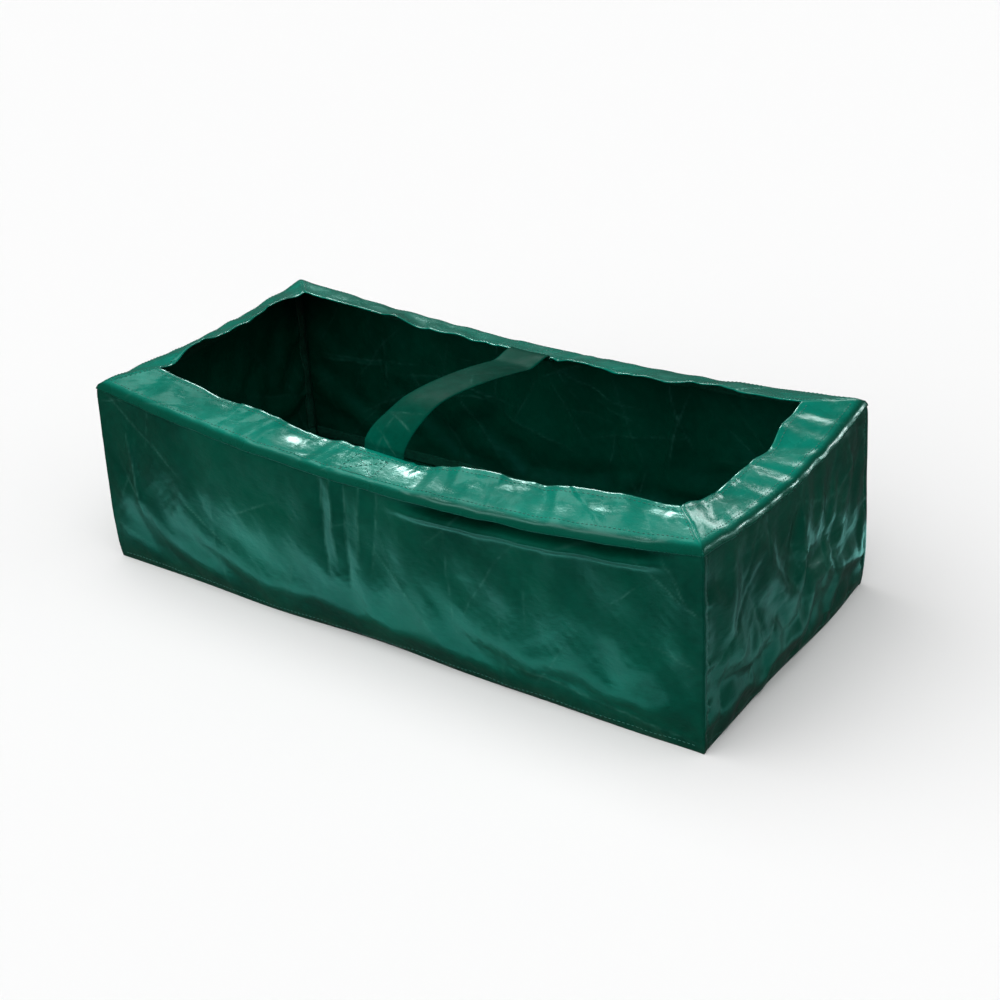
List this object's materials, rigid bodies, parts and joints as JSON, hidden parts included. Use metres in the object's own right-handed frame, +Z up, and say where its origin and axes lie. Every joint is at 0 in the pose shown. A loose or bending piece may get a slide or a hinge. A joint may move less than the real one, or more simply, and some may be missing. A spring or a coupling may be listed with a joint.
{
  "type": "fabric grow bag",
  "caption": "Long rectangular planting bag of laminated woven cloth with a turned-in collar around the mouth and a strap across the middle.",
  "frame": {"origin": "on the ground under the centre of the base, where the bag rests", "axes": "+X along the bag, -Y towards the long wall called the front, +Z up"},
  "size_m": [0.783, 0.382, 0.237],
  "materials": {
    "wall_cloth": "woven polyethylene tape cloth with a clear laminated skin, dark bottle green, satin to glossy, creased",
    "base_cloth": "the same laminated woven cloth, flatter and slightly scuffed where it rests",
    "collar_band": "laminated woven cloth folded double, bright teal green where it faces the light, pleated across, with a turned hem",
    "strap_band": "laminated woven cloth folded double, dark teal green, satin",
    "binding_tape": "ribbed woven tape folded over the raw edges of the seams, matt dark green",
    "sewing_thread": "twisted polyester thread in lock stitches about 5 mm long, dark green"
  },
  "bodies": {
    "root": {"back_base_binding": "binding_tape", "back_base_stitching": "sewing_thread", "back_collar": "collar_band", "back_hem_stitching": "sewing_thread", "back_left_corner_binding": "binding_tape", "back_left_corner_stitching": "sewing_thread", "back_left_mitre_stitching": "sewing_thread", "back_right_corner_binding": "binding_tape", "back_right_corner_stitching": "sewing_thread", "back_right_mitre_stitching": "sewing_thread", "back_rim_binding": "binding_tape", "back_rim_stitching": "sewing_thread", "back_strap_stitching": "sewing_thread", "back_wall": "wall_cloth", "base_panel": "base_cloth", "cross_strap": "strap_band", "front_base_binding": "binding_tape", "front_base_stitching": "sewing_thread", "front_collar": "collar_band", "front_hem_stitching": "sewing_thread", "front_left_corner_binding": "binding_tape", "front_left_corner_stitching": "sewing_thread", "front_left_mitre_stitching": "sewing_thread", "front_right_corner_binding": "binding_tape", "front_right_corner_stitching": "sewing_thread", "front_right_mitre_stitching": "sewing_thread", "front_rim_binding": "binding_tape", "front_rim_stitching": "sewing_thread", "front_strap_stitching": "sewing_thread", "front_wall": "wall_cloth", "left_base_binding": "binding_tape", "left_base_stitching": "sewing_thread", "left_collar": "collar_band", "left_end_wall": "wall_cloth", "left_hem_stitching": "sewing_thread", "left_rim_binding": "binding_tape", "left_rim_stitching": "sewing_thread", "right_base_binding": "binding_tape", "right_base_stitching": "sewing_thread", "right_collar": "collar_band", "right_end_wall": "wall_cloth", "right_hem_stitching": "sewing_thread", "right_rim_binding": "binding_tape", "right_rim_stitching": "sewing_thread"}
  },
  "joints": []
}
